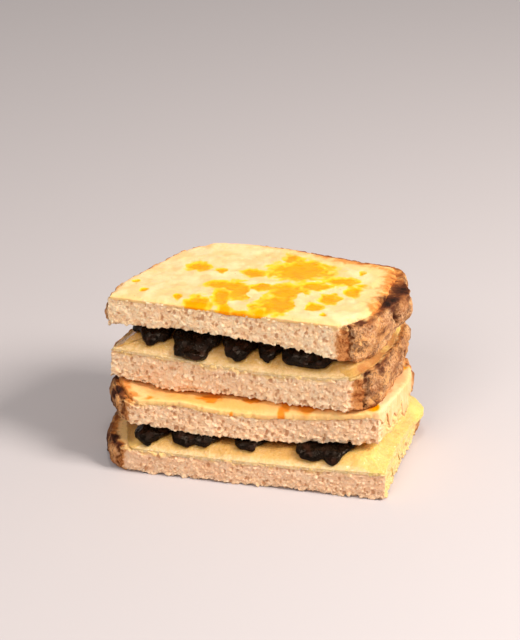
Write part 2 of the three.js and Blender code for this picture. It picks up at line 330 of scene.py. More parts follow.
class Recipe:
    # a material's nodes, with short ways to add the ones used here
    def __init__(self, name):
        self.material = bpy.data.materials.new(name)
        self.material.use_nodes = True
        self.tree = self.material.node_tree
        self.shader = self.tree.nodes["Principled BSDF"]
        self.object = self.tree.nodes.new("ShaderNodeTexCoord").outputs["Object"]

    def link(self, source, target):
        if hasattr(source, "is_output"):
            self.tree.links.new(source, target)
        else:
            target.default_value = source

    def layer(self, name):
        node = self.tree.nodes.new("ShaderNodeAttribute")
        node.attribute_name = name
        return node.outputs["Fac"]

    def noise(self, size, detail=4.0, rough=0.55):
        # size in mm
        node = self.tree.nodes.new("ShaderNodeTexNoise")
        node.inputs["Scale"].default_value = 1000.0 / size
        node.inputs["Detail"].default_value = detail
        node.inputs["Roughness"].default_value = rough
        self.link(self.object, node.inputs["Vector"])
        return node.outputs["Fac"]

    def cells(self, size, flatten=1.0):
        # distance from the middle of scattered cells, size in mm; flatten below 1 makes them taller
        stretch = self.tree.nodes.new("ShaderNodeMapping")
        stretch.inputs["Scale"].default_value = (1.0, 1.0, flatten)
        self.link(self.object, stretch.inputs["Vector"])
        node = self.tree.nodes.new("ShaderNodeTexVoronoi")
        node.inputs["Scale"].default_value = 1000.0 / size
        self.link(stretch.outputs["Vector"], node.inputs["Vector"])
        return node.outputs["Distance"]

    def range(self, value, low, high, toLow=0.0, toHigh=1.0):
        # toLow below low, toHigh above high, an S between
        node = self.tree.nodes.new("ShaderNodeMapRange")
        node.interpolation_type = "SMOOTHSTEP"
        self.link(value, node.inputs["Value"])
        node.inputs["From Min"].default_value = low
        node.inputs["From Max"].default_value = high
        node.inputs["To Min"].default_value = toLow
        node.inputs["To Max"].default_value = toHigh
        return node.outputs["Result"]

    def sum(self, a, b, kind="ADD"):
        node = self.tree.nodes.new("ShaderNodeMath")
        node.operation = kind
        self.link(a, node.inputs[0])
        self.link(b, node.inputs[1])
        return node.outputs["Value"]

    def times(self, a, b):
        return self.sum(a, b, "MULTIPLY")

    def mix(self, factor, a, b):
        # colour a where factor is 0, b where it is 1
        node = self.tree.nodes.new("ShaderNodeMix")
        node.data_type = "RGBA"
        self.link(factor, node.inputs["Factor"])
        self.link(a, node.inputs[6])
        self.link(b, node.inputs[7])
        return node.outputs[2]

    def bump(self, height, depth, strength):
        # depth in mm
        node = self.tree.nodes.new("ShaderNodeBump")
        node.inputs["Distance"].default_value = depth / 1000.0
        node.inputs["Strength"].default_value = strength
        self.link(height, node.inputs["Height"])
        return node.outputs["Normal"]

    def set(self, **values):
        for key, value in values.items():
            self.link(value, self.shader.inputs[key.replace("_", " ")])


breadLook = {
    "crumb": paint(252, 209, 161),
    "crumbPale": paint(255, 230, 192),
    "crumbShade": paint(229, 177, 142),
    "crumbGrain": paint(224, 168, 120),
    "crumbHoleShade": paint(196, 136, 92),
    "band": paint(142, 75, 32),
    "bandPale": paint(208, 142, 84),
    "crust": paint(148, 90, 48),
    "crustPale": paint(210, 150, 90),
    "crustDark": paint(72, 38, 24),
    "scorch": paint(84, 42, 22),
    "char": paint(30, 15, 9),
    "flour": paint(212, 164, 120),
    "toast": paint(150, 80, 36),
    "toastMiddle": paint(214, 136, 66),
    "toastPale": paint(240, 190, 126),
    "soaked": paint(238, 194, 126),
}


def breadMaterial():
    r = Recipe("ryeBread")
    look = breadLook
    pinholes = r.cells(0.95, 0.8)
    crumb = r.mix(r.range(r.noise(2.6, 5.0, 0.65), 0.36, 0.66), look["crumb"], look["crumbPale"])
    # The crumb is painted darker and pinker on the lower slices: painted shade, most on the lowest.
    crumb = r.mix(r.layer("shade"), crumb, look["crumbShade"])
    crumb = r.mix(r.range(r.noise(0.7, 3.0, 0.7), 0.5, 0.66, 0.0, 0.3), crumb, look["crumbGrain"])
    # The crumb's pinholes, holes, notches and the gaps between its clumps are painted darker: painted shade
    # in its hollows.
    crumb = r.mix(r.range(pinholes, 0.3, 0.08, 0.0, 0.32), crumb, look["crumbHoleShade"])
    crumb = r.mix(r.range(r.layer("pore"), 0.1, 1.0, 0.0, 0.7), crumb, look["crumbHoleShade"])
    bandEdge = r.sum(r.layer("band"), r.range(r.noise(2.2, 5.0, 0.65), 0.3, 0.7, -0.3, 0.24))
    colour = r.mix(r.range(bandEdge, 0.1, 0.6), crumb, look["bandPale"])
    bandDeep = r.times(r.range(bandEdge, 0.38, 0.95), r.range(r.noise(1.8, 5.0, 0.65), 0.38, 0.6, 0.3, 1.0))
    colour = r.mix(bandDeep, colour, look["band"])
    specks = r.times(r.range(r.noise(0.9, 3.0, 0.7), 0.56, 0.68), r.layer("band"))
    colour = r.mix(r.times(specks, 0.7), colour, look["crustDark"])
    colour = r.mix(r.range(r.layer("soaked"), 0.0, 1.0), colour, look["soaked"])
    toastEdge = r.times(r.layer("toast"), r.range(r.noise(5.0, 5.0, 0.6), 0.3, 0.7, 0.55, 1.45))
    colour = r.mix(r.range(toastEdge, 0.0, 0.2), colour, look["toastPale"])
    colour = r.mix(r.range(toastEdge, 0.2, 0.65), colour, look["toastMiddle"])
    colour = r.mix(r.range(toastEdge, 0.6, 1.1), colour, look["toast"])
    crust = r.mix(r.range(r.noise(9.0, 4.0, 0.6), 0.4, 0.6), look["crust"], look["crustPale"])
    dark = r.sum(r.noise(6.0, 5.0, 0.62), r.range(r.layer("tone"), 0.0, 1.0, -0.1, 0.08))
    crust = r.mix(r.range(dark, 0.46, 0.7, 0.0, 0.7), crust, look["crustDark"])
    specks = r.sum(r.noise(0.75, 2.0, 0.7), r.range(r.noise(6.0, 3.0), 0.3, 0.7, -0.16, 0.08))
    crust = r.mix(r.range(specks, 0.46, 0.6, 0.0, 0.72), crust, look["crustDark"])
    colour = r.mix(r.layer("skin"), colour, crust)
    # The crust is painted darker along its creases: painted shade in the grooves.
    colour = r.mix(r.range(r.layer("crease"), 0.1, 1.0, 0.0, 0.85), colour, look["crustDark"])
    dust = r.times(r.layer("flour"), r.range(r.noise(1.0, 3.0, 0.7), 0.38, 0.62))
    colour = r.mix(dust, colour, look["flour"])
    charEdge = r.sum(r.layer("char"), r.range(r.noise(2.4, 5.0, 0.65), 0.3, 0.7, -0.16, 0.16))
    colour = r.mix(r.range(charEdge, 0.12, 0.75), colour, look["scorch"])
    colour = r.mix(r.range(charEdge, 0.65, 1.15), colour, look["char"])
    r.set(Base_Color=colour)
    r.set(Roughness=r.range(r.layer("skin"), 0.0, 1.0, 0.92, 0.75))
    r.set(Subsurface_Weight=0.3, Subsurface_Scale=0.0022, Subsurface_Radius=(1.0, 0.7, 0.5))
    r.set(Specular_IOR_Level=0.12)
    grain = r.sum(r.times(r.range(pinholes, 0.0, 0.35), 0.5), r.noise(0.8, 4.0, 0.7))
    r.set(Normal=r.bump(grain, 0.34, 0.8))
    return r.material


cheeseLook = {
    "body": paint(202, 152, 76),
    "pale": paint(220, 172, 98),
    "deep": paint(188, 134, 60),
    "crumbSide": paint(240, 196, 144),
    "shaded": paint(176, 122, 56),
    "bright": paint(238, 198, 112),
    "browned": paint(178, 112, 54),
}


def cheeseMaterial():
    r = Recipe("meltedCheese")
    look = cheeseLook
    colour = r.mix(r.range(r.noise(14.0, 2.0), 0.25, 0.75), look["body"], look["pale"])
    colour = r.mix(r.range(r.noise(6.0, 3.0), 0.5, 0.8, 0.0, 0.35), colour, look["deep"])
    # The cheese is painted darker from a few mm behind the cut, under the bread above: painted shade.
    inner = r.times(r.layer("inner"), r.range(r.noise(7.0, 3.0), 0.2, 0.8, 0.5, 0.9))
    colour = r.mix(inner, colour, look["shaded"])
    # The cheese is painted lighter at its right end, where the lamp on the right falls, and at its unlit
    # back: painted light.
    bright = r.times(r.layer("bright"), r.range(r.noise(5.0, 3.0), 0.3, 0.6, 0.6, 1.0))
    colour = r.mix(bright, colour, look["bright"])
    thin = r.times(r.range(r.layer("thin"), 0.1, 0.9), r.range(r.noise(1.8, 4.0, 0.6), 0.35, 0.6, 0.4, 1.0))
    colour = r.mix(thin, colour, look["crumbSide"])
    # The browned spots are partly browning and partly painted shade, at ends of the cheese that lie in
    # shade.
    browned = r.range(r.sum(r.layer("browned"), r.noise(3.0, 4.0)), 0.6, 1.3, 0.0, 0.9)
    colour = r.mix(browned, colour, look["browned"])
    r.set(Base_Color=colour)
    wetness = r.range(r.noise(2.2, 4.0, 0.6), 0.42, 0.6, 0.12, 0.42)
    r.set(Roughness=r.sum(wetness, r.times(r.layer("rim"), 0.5)), Specular_IOR_Level=0.4)
    r.set(Subsurface_Weight=0.5, Subsurface_Scale=0.005, Subsurface_Radius=(1.0, 0.75, 0.4))
    r.set(Coat_Weight=r.range(r.layer("rim"), 0.0, 0.7, 0.7, 0.0), Coat_Roughness=0.08)
    r.set(Coat_Normal=r.bump(r.noise(2.2, 3.0, 0.6), 1.4, 1.0))
    r.set(Normal=r.bump(r.noise(1.1, 4.0, 0.6), 0.5, 0.9))
    return r.material


toppingLook = {
    "cream": paint(241, 186, 128),
    "creamPale": paint(249, 202, 150),
    "amber": paint(250, 156, 0),
    "amberDeep": paint(247, 141, 0),
    "amberShade": paint(230, 134, 36),
    "honey": paint(252, 188, 50),
    "fleck": paint(160, 92, 46),
    "scorched": paint(238, 172, 92),
}


def toppingMaterial():
    r = Recipe("grilledCheese")
    look = toppingLook
    cream = r.mix(r.range(r.noise(8.0, 3.0), 0.38, 0.62), look["cream"], look["creamPale"])
    flecks = r.times(r.range(r.cells(4.2), 0.10, 0.06), r.range(r.noise(11.0), 0.45, 0.6))
    cream = r.mix(r.times(flecks, 0.7), cream, look["fleck"])
    # The lower sheet is painted more orange and its browned patches darker: partly its colour, partly
    # painted shade under the slice above.
    cream = r.mix(r.range(r.layer("scorched"), 0.0, 1.0), cream, look["scorched"])
    edge = r.times(r.layer("edge"), r.range(r.noise(1.6, 4.0, 0.6), 0.35, 0.6, 0.45, 1.0))
    cream = r.mix(edge, cream, breadLook["soaked"])
    patchEdge = r.sum(r.layer("amber"), r.range(r.noise(3.0, 2.0, 0.5), 0.3, 0.7, -0.1, 0.1))
    amber = r.mix(r.range(r.noise(4.5, 4.0, 0.6), 0.4, 0.66), look["amber"], look["amberDeep"])
    amber = r.mix(r.range(r.layer("scorched"), 0.1, 0.6), amber, look["amberShade"])
    honey = r.mix(r.range(r.layer("scorched"), 0.1, 0.6), look["honey"], look["scorched"])
    colour = r.mix(r.range(patchEdge, 0.08, 0.42), cream, honey)
    colour = r.mix(r.range(patchEdge, 0.32, 0.85), colour, amber)
    toastEdge = r.times(r.layer("toast"), r.range(r.noise(5.0, 5.0, 0.6), 0.3, 0.7, 0.55, 1.45))
    colour = r.mix(r.range(toastEdge, 0.0, 0.25), colour, breadLook["toastPale"])
    colour = r.mix(r.range(toastEdge, 0.25, 0.7), colour, breadLook["toastMiddle"])
    colour = r.mix(r.range(toastEdge, 0.65, 1.1), colour, breadLook["toast"])
    charEdge = r.sum(r.layer("char"), r.range(r.noise(2.4, 5.0, 0.65), 0.3, 0.7, -0.16, 0.16))
    colour = r.mix(r.range(charEdge, 0.12, 0.75), colour, breadLook["scorch"])
    colour = r.mix(r.range(charEdge, 0.65, 1.15), colour, breadLook["char"])
    r.set(Base_Color=colour)
    r.set(Roughness=r.range(patchEdge, 0.3, 0.7, 0.6, 0.3))
    r.set(Subsurface_Weight=0.12, Subsurface_Scale=0.002, Specular_IOR_Level=0.06)
    r.set(Normal=r.bump(r.noise(1.5, 4.0, 0.6), 0.34, 0.7))
    return r.material


pickleLook = {"dark": paint(12, 5, 2), "brown": paint(44, 20, 10)}


def pickleMaterial():
    r = Recipe("darkPickle")
    look = pickleLook
    r.set(Base_Color=r.mix(r.range(r.noise(4.0, 4.0), 0.48, 0.75), look["dark"], look["brown"]))
    r.set(Roughness=r.range(r.noise(2.0, 4.0, 0.6), 0.42, 0.6, 0.14, 0.5))
    r.set(Specular_IOR_Level=0.16, Specular_Tint=(1.0, 0.74, 0.56, 1.0))
    r.set(Normal=r.bump(r.noise(1.3, 3.0, 0.6), 0.3, 0.8))
    return r.material


materials = {
    "bread": breadMaterial(),
    "cheese": cheeseMaterial(),
    "topping": toppingMaterial(),
    "pickle": pickleMaterial(),
}
print("materials made")


# Heights in layout mm, as the solids have them. u is x over half the lower cut's length.
def bow(y):
    # a slice bends most at its cut and lies flatter towards the back
    return 1 - 0.7 * smoothStep((y + 20) / 50)


def hump(t):
    # 1 at 0, falling to 0 at -1 and 1
    return smoothStep(1 - np.abs(t))


def puff(x, y):
    # the lower half's front edge stays puffed where the upper half doesn't press it
    return hump((x + 29) / 22) * (1 - smoothStep((y + 27) / 9))


def bank(x, y):
    # melted topping gathers where the upper half stands on it
    depthways = smoothStep((y + 24) / 6) * (1 - smoothStep((y + 8) / 14))
    return 0.6 * puff(x, y) + 2.8 * hump((x - 2) / 46) * depthways


def floorHeight(x, y):
    return np.zeros_like(x)


def sliceOneTop(x, y):
    u = x / layout["halfLength"]
    return 11.2 + bow(y) * (0.5 * u + 0.9 * u**2 - 0.6)


def sliceTwoUnder(x, y):
    u = x / layout["halfLength"]
    return 20.3 + bow(y) * (3 * u**2 - 0.6 * u - 2.9)


def sliceTwoTop(x, y):
    u = x / layout["halfLength"]
    return 32.3 + bow(y) * (3.3 * u**2 + 0.85 * u - 3.3) + 2.2 * puff(x, y)


def sliceThreeUnder(x, y):
    u = x / layout["halfLength"]
    return 34.1 - 0.1 * u + 0.9 * u**2 - 1.8 * hump((x + 37) / 22) * (1 - smoothStep((y + 10) / 25))


def sliceThreeTop(x, y):
    u = x / layout["halfLength"]
    return 47.6 + bow(y) * (1.1 * u**2 + 5 * np.maximum(u, 0) ** 3 - 0.7)


def sliceFourUnder(x, y):
    u = x / layout["halfLength"]
    return 58 + bow(y) * (1.3 - 2.65 * u - 2.95 * u**2)


def sliceFourTop(x, y):
    return 71.2 + 0.3 * x / layout["halfLength"]


# The four slices. skinFrom: how far the cut runs on round the crust at its right and left ends.
# band: width of the tan rind on the cut, right and left. tone: how dark the crust is, right and
# left. toast: width of the browned border on top, right and left. soaked: how far butter stains the
# cut. burns: x, y, z, radius and strength of scorched places. cracks: two ends, width and depth.
# ear: where the crust stands out in a lobe. salt: the start of the slice's own random numbers.
# Each slice's painted shade darkens its crumb: most on the lowest slice, least on the top one.
breadSlices = {
    "lower_bread_under": {
        "cut": [(-51, -30.5), (57, -30.5), (57.5, -5), (59.5, 28)],
        "crust": [(58, 40), (48, 48), (30, 49.5), (0, 51), (-30, 50), (-52, 46), (-62, 34), (-64.5, 12),
                  (-64.5, -8), (-61, -22), (-56, -28)],
        "under": floorHeight, "over": sliceOneTop, "salt": 11, "shade": 0.55,
        "skinFrom": (0.5, 5.5), "band": (1.5, 7.0), "tone": (0.3, 0.6), "flour": 0.15,
        "soaked": 0.9, "toast": (2.0, 5.0),
        "burns": [(-63, -16, 3, 9, 0.8), (-60, -22, 11, 4, 0.7), (-65, 6, 6, 14, 0.5)],
        "cracks": [((-58.5, -25, 12), (-58, -25.5, 0), 0.7, 1.2)],
    },
    "lower_bread_over": {
        "cut": [(-51, -27.5), (52, -20), (56, -4), (59, 12), (57.5, 26)],
        "crust": [(52, 38), (42, 44), (20, 46), (-10, 46), (-36, 44), (-54, 38), (-62, 24), (-63.5, 4),
                  (-62.5, -10), (-58, -21), (-54, -25.5)],
        "under": sliceTwoUnder, "over": sliceTwoTop, "salt": 23, "shade": 0.4,
        "skinFrom": (0.5, 3.6), "band": (1.5, 7.0), "tone": (0.3, 0.5), "flour": 0.15,
        "soaked": 0.7, "toast": (3.0, 12.0),
        "burns": [(-59, -20, 31, 4.5, 1.0), (-60, -17, 26, 4, 0.9), (-62, -8, 32, 5, 0.6)],
        "cracks": [],
    },
    "upper_bread_under": {
        "cut": [(-62.5, -14.8), (39, -23)],
        "crust": [(46, -19.5), (51, -12), (53, 2), (54, 18), (53, 34), (47, 43), (30, 47), (8, 50),
                  (-16, 52), (-36, 48), (-48, 38), (-56, 20), (-60.5, 2)],
        "under": sliceThreeUnder, "over": sliceThreeTop, "salt": 37, "shade": 0.3,
        "skinFrom": (7.4, 5.0), "band": (9.0, 1.2), "tone": (0.5, 0.12), "flour": 0.5,
        "soaked": 0.9, "toast": (3.0, 1.0),
        "burns": [(50, -13, 50, 4.0, 0.9), (46.5, -18, 47, 2.5, 0.5), (54, 12, 47, 5, 0.4)],
        "cracks": [((47.2, -19, 52), (46.6, -19.4, 35), 0.55, 1.5)],
    },
    "upper_bread_over": {
        "cut": [(-64, -12.3), (35, -21)],
        "crust": [(42, -17.5), (48, -8), (51, 4), (52, 20), (52, 35), (48, 43), (36, 45.5), (15, 50),
                  (-5, 54), (-22, 54), (-36, 50), (-45, 43), (-51, 30), (-57, 16), (-62, 2)],
        "under": sliceFourUnder, "over": sliceFourTop, "salt": 53, "shade": 0.1,
        "skinFrom": (4.5, 2.5), "band": (8.5, 1.0), "tone": (0.45, 0.1), "flour": 0.5,
        "soaked": 0.5, "toast": (15.0, 1.5),
        "burns": [(51, 7, 72, 9, 0.75), (55, 20, 73, 9, 0.6), (43, -15, 71, 4, 0.4),
                  (46, -10, 58, 3, 0.4), (57, 14, 61, 5, 0.6)],
        "cracks": [((52.5, 5, 73), (54, 8, 61), 1.0, 2.6)],
        "ear": {"swell": 4.6, "x": 52, "y": 19, "reach": 14},
    },
}
breadGrain = {
    "cutSpacing": 0.36, "crustSpacing": 0.5,  # mm between columns
    "side": 40, "margin": 13, "core": 4, "reach": 11, "rounding": 0.7,
    "swell": 1.6,  # mm that the crust bulges
}
# holes and clumps of the crumb: cell size, smallest and largest radius, share of cells, salt
crumbForm = {
    "bigHoles": (6.0, 0.7, 1.7, 0.3, 0),
    "middleHoles": (2.6, 0.4, 1.0, 0.65, 9),
    "smallHoles": (1.4, 0.3, 0.72, 0.95, 17),
    "clumps": (1.5, 0.45, 0.85, 0.9, 21),
    "smallClumps": (0.95, 0.3, 0.5, 0.8, 22),
}


def distanceToStretch(place, start, end):
    # the shortest distance from each place to a straight stretch in space
    a, b = np.array(start, float), np.array(end, float)
    t = np.clip(((place - a) @ (b - a)) / ((b - a) @ (b - a)), 0.0, 1.0)
    return np.linalg.norm(place - a - t[..., None] * (b - a), axis=-1)


def balls(place, kind, salt):
    # ballHoles of one of the kinds in crumbForm
    size, smallest, largest, share, own = crumbForm[kind]
    return ballHoles(place, size, smallest, largest, share, salt + own)


def burnMarks(place, burns):
    # the sum of the burns, each its strength in its middle and falling to 0 at its radius
    total = np.zeros(place.shape[:-1])
    for bx, by, bz, radius, strength in burns:
        away = np.linalg.norm(place - np.array([bx, by, bz]), axis=-1)
        total = total + strength * (1 - ramp(away, 0.2 * radius, radius))
    return total


def toastWidth(look, rightness, y):
    # width of the browned border: its left value, going over to its right one away from the cut
    right, left = look["toast"]
    return np.maximum(left + (right - left) * rightness * ramp(y, -14.0, 4.0), 1.5)


crustLines = {}  # each slice's crust in plan, which its topping follows


def breadSlice(name, look):
    # a slab with a swollen crust. The cut crumb is clumps (small domes) with ball-shaped holes of
    # three sizes between them, notched along its rims; the crust has lumps, and creases where a
    # noise drawn out down the crust passes through 0.
    edge = outline(look, breadGrain["cutSpacing"], breadGrain["crustSpacing"])
    crustLines[name] = edge["crust"]
    grain = breadGrain
    rows = slabRows(grain["rounding"], grain["side"], grain["margin"], grain["core"], grain["reach"])
    grid = slabGrid(edge, rows, look["under"], look["over"], grain["swell"])
    atRim = rows["pull"] < 0.001
    if "ear" in look:
        ear = look["ear"]
        near = smoothStep(1 - np.abs(edge["points"][:, 1] - ear["y"]) / ear["reach"])
        lobe = ear["swell"] * near * (edge["points"][:, 0] > ear["x"] - 8)
        shelf = ramp(rows["lift"], 0.14, 0.36) * (1 - ramp(rows["inset"], 0.0, 9.0)) * atRim
        grid[..., :2] = grid[..., :2] + edge["away"][None] * (shelf[:, None] * lobe[None, :])[..., None]
    normal = surfaceNormals(grid)
    salt = look["salt"]
    x, y, z = grid[..., 0], grid[..., 1], grid[..., 2]
    high = np.clip((z - look["under"](x, y)) / (look["over"](x, y) - look["under"](x, y)), 0, 1)
    rightness = ramp(x, -45.0, 35.0)
    first, last = look["skinFrom"]
    wobble = hills(grid, (0.9, 3.5, salt + 35), (0.5, 1.3, salt + 36))
    fromFirst = edge["fromFirst"][None, :] + wobble * (first > 1)
    fromLast = edge["fromLast"][None, :] + wobble * (last > 1)
    skin = ramp(fromFirst, first, first + 0.9) * ramp(fromLast, last, last + 0.9)
    seam = np.exp(-(((fromFirst - first) / 0.5) ** 2)) * (first > 1)
    seam = seam + np.exp(-(((fromLast - last) / 0.5) ** 2)) * (last > 1)
    onSide = np.clip(np.sin(np.pi * rows["lift"]) * 5.0, 0.0, 1.0)[:, None]
    rim = (ramp(rows["inset"], 5.0, 0.5) * atRim)[:, None]
    crusty = skin * onSide
    isSide = (rows["lift"] > 0) & (rows["lift"] < 1)
    skinColour = skin * np.where(isSide, 1.0, 1 - ramp(rows["inset"], 0.1, 1.1))[:, None]
    fromCrust = distanceToLine(x, y, edge["crust"][::3])
    bandWidth = look["band"][1] + (look["band"][0] - look["band"][1]) * rightness
    band = 1 - ramp(fromCrust + 0.6 * wobble, 0.1 * bandWidth, bandWidth)
    crumby = (1 - skin * rim) * rim * (1 - 0.6 * band)

    # the crumb
    place = grid + 0.45 * drift(grid, 1.3, salt + 28)
    tall = place * np.array([1, 1, 0.6])
    holes = np.maximum(balls(place, "bigHoles", salt), balls(tall, "middleHoles", salt))
    holes = np.maximum(holes, 0.9 * balls(tall, "smallHoles", salt))
    clumps = np.maximum(balls(place, "clumps", salt), 0.8 * balls(place, "smallClumps", salt))
    walls = hills(place, (0.16, 0.8, salt + 25), (0.2, 2.6, salt + 26), (0.4, 9.0, salt + 27))
    crumbPush = walls - 0.3 + 0.85 * clumps * (1 - ramp(holes, 0.1, 0.5)) - 0.9 * holes
    thickness = look["over"](x, y) - look["under"](x, y)
    toRim = np.where(onSide > 0.02, np.minimum(high, 1 - high) * thickness, rows["inset"][:, None])
    nearRim = 1 - ramp(toRim, 0.2, 3.0)
    notch = np.clip(hills(place, (1.0, 2.0, salt + 46), (0.7, 1.0, salt + 47)), 0, 1.2)
    notch = notch * nearRim * crumby * np.where(high < 0.5, 1.0, 0.3)

    # the crust
    strip = np.stack([edge["along"][None, :] / 1.6 + 0.45 * z, 0.5 * z, np.zeros_like(x)], -1)
    creases = hills(strip, (1.0, 4.5, salt + 33), (0.35, 1.8, salt + 37))
    crease = 1 - ramp(np.abs(creases), 0.0, 0.14)
    patchy = ramp(softNoise(grid, 9.0, salt + 38), -0.1, 0.4)
    lumps = hills(grid, (1.1, 12.0, salt + 31), (0.6, 4.5, salt + 32), (0.3, 1.5, salt + 34))
    folds = 1.1 * np.abs(creases) - 0.5 - 0.5 * crease * patchy
    push = crumbPush * crumby + (lumps + folds) * crusty - 0.6 * seam * rim - 1.0 * notch
    char = np.zeros(x.shape)
    # Each crack is pressed in and painted dark along it: painted shade in the split.
    for start, end, width, depth in look["cracks"]:
        bent = grid + drift(grid, 3.0, salt + 54)
        crack = np.exp(-((distanceToStretch(bent, start, end) / width) ** 2))
        push = push - depth * crack
        char = char + 0.8 * crack
    wander = drift(grid, 1.9, salt + 40) + 0.5 * drift(grid, 0.9, salt + 44)
    wander = wander * (0.2 + 0.35 * nearRim[..., None]) * rim[..., None]
    shaped = grid + normal * push[..., None] + wander
    shaped[..., 2] = np.maximum(shaped[..., 2] + 1.1 * notch * np.where(high < 0.5, 1.0, -1.0), 0.0)

    # colours
    tone = look["tone"][1] + (look["tone"][0] - look["tone"][1]) * rightness
    char = char + burnMarks(grid, look["burns"]) * np.maximum(crusty, ramp(high, 0.9, 1.0))
    char = char + crusty * (1.1 * tone - 0.55 + 0.3 * softNoise(grid, 7.0, salt + 51)) + 0.5 * seam * rim
    char = char + 0.42 * band * (1 - crusty) * ramp(high + 0.1 * softNoise(grid, 2.5, salt + 52), 0.55, 1.0)
    flour = look["flour"] + 0.55 * softNoise(grid, 7.0, salt + 61) + 0.3 * softNoise(grid, 2.5, salt + 62)
    flour = crusty * flour
    toast = (1 - fromCrust / toastWidth(look, rightness, y)) * ramp(high, 0.8, 1.0)
    soaked = ramp(high + 0.12 * softNoise(grid, 3.0, salt + 71), 0.8, 1.02) * look["soaked"]
    soaked = np.maximum(soaked, 0.8 * ramp(x, 50.5, 55.0) * ramp(normal[..., 0], 0.5, 0.85))
    layers = {
        # painted shade in the crumb's holes, notches and the gaps between its clumps
        "pore": np.clip(holes / 0.7 + 0.35 * notch + 0.22 * (1 - ramp(clumps, 0.0, 0.45)), 0, 1) * crumby,
        # painted shade on the crumb, set per slice, with a soft wander
        "shade": np.clip(look["shade"] + 0.15 * softNoise(grid, 14.0, salt + 63), 0, 1),
        "skin": skinColour,
        # painted shade along the crust's creases
        "crease": crease * patchy * crusty,
        "tone": np.clip(tone, 0, 1),
        "band": band * (1 - skinColour),
        "char": np.clip(char, 0, 1),
        "flour": np.clip(flour, 0, 1),
        "soaked": soaked * (1 - skinColour),
        "toast": np.clip(toast, 0, 1),
    }
    return meshPiece(name.replace("_bread_", "Slice_"), shaped, layers, materials["bread"], name)


for name, look in breadSlices.items():
    piece = breadSlice(name, look)
    print("bread:", piece.name, len(piece.data.polygons), "faces")


# The melted cheese in each half. depth: its full thickness. rightEnd: 1 where its right end is painted
# lighter, as painted light from the lamp on the right. drips: x, y, half width and drop. browned: x, y,
# radius and strength of spots that are partly browning and partly painted shade.
cheeseSheets = {
    "lower_cheese": {
        "cut": [(-49, -30.2), (56.5, -30.5), (57.2, -5), (59.5, 16)],
        "crust": [(63, 27), (61.5, 34), (54, 43.5), (40, 47), (20, 48.5), (0, 49.5), (-28, 48.5),
                  (-48, 44), (-57, 32), (-59, 12), (-58, -8), (-54, -22), (-51, -28)],
        "under": sliceOneTop, "above": sliceTwoUnder, "depth": 3.9, "salt": 101, "rightEnd": 1.0,
        "drips": [(57, -24, 4, 4.5), (57.3, -12, 5, 7), (58, 1, 5, 8), (59.2, 12, 4, 7)],
        "browned": [(-57, -10, 8, 0.4)],
    },
    "upper_cheese": {
        "cut": [(-61.5, -14.8), (40, -22.8)],
        "crust": [(46, -18.5), (49.5, -11), (51, 2), (52, 18), (51, 33), (45.5, 41), (29, 45), (8, 48),
                  (-15, 50), (-34, 46), (-46, 36.5), (-54, 19), (-59, 2)],
        "under": sliceThreeTop, "above": sliceFourUnder, "depth": 4.8, "salt": 131, "rightEnd": 0.0,
        "drips": [(-20, -18.5, 5, 0.6), (12, -20.5, 6, 0.8)],
        "browned": [(50, -8, 14, 0.8), (52, 15, 14, 0.8), (46, -18, 6, 0.8), (-60, -12, 4, 0.3)],
    },
}
cheeseForm = {"gap": 0.05, "lip": 0.45, "slope": 8.0, "spacing": 0.6, "rowsIn": 46, "out": -0.15}
shortestDrip = 0.1


def cheeseDepth(inset, full):
    # thin at the edge, then an S-shaped slope up to full thickness
    return cheeseForm["lip"] + (full - cheeseForm["lip"]) * smoothStep(inset / cheeseForm["slope"])


def dripLengths(points, look):
    # how far the lip hangs at each outline point: uneven tongues, and the named drips as bells
    flat = np.column_stack([points, np.zeros(len(points))])
    salt = look["salt"]
    length = 0.5 + 0.8 * softNoise(flat, 6.0, salt + 3) + 0.6 * softNoise(flat, 2.4, salt + 4)
    length = np.clip(length, 0.0, 2.0) + shortestDrip
    for dx, dy, halfWidth, drop in look["drips"]:
        away = np.hypot(points[:, 0] - dx, points[:, 1] - dy)
        ragged = 1 + 0.45 * softNoise(flat, 1.8, salt + 5)
        length = length + drop * np.exp(-((away / halfWidth) ** 2)) * ragged
    return length


def lipRows(insetsIn, pulls, out, steps=9):
    # rows of a melted sheet: from under it, out through the side of the slice below the drip's tip,
    # up the drip, over the edge and inwards. Each has an inset, a pull towards the middle, a fixed
    # drop, a share of the drip's length and a share of the sheet's depth.
    up = np.linspace(0, 1, steps)
    under = [3.0, 3.0, 1.2, 0.3]
    bulge = -out * np.sin(np.pi * (0.1 + 0.45 * up))
    return {
        "inset": np.concatenate([under, bulge, [-0.6 * out, 0.0, 0.4], insetsIn]),
        "pull": np.concatenate([[0.5], np.zeros(3 + steps + 3), pulls]),
        "drop": np.concatenate([[0.3, 0.3, 0.5, 0.8], 0.8 * (1 - up), np.zeros(3 + len(insetsIn))]),
        "drip": np.concatenate([[0, 0, 0.5, 0.95], 1 - up, np.zeros(3 + len(insetsIn))]),
        "share": np.concatenate([np.zeros(4 + steps), [0.5, 0.78, 0.94], np.ones(len(insetsIn))]),
        "lift": np.zeros(7 + steps + len(insetsIn)),
        "rise": np.zeros(7 + steps + len(insetsIn)),
    }


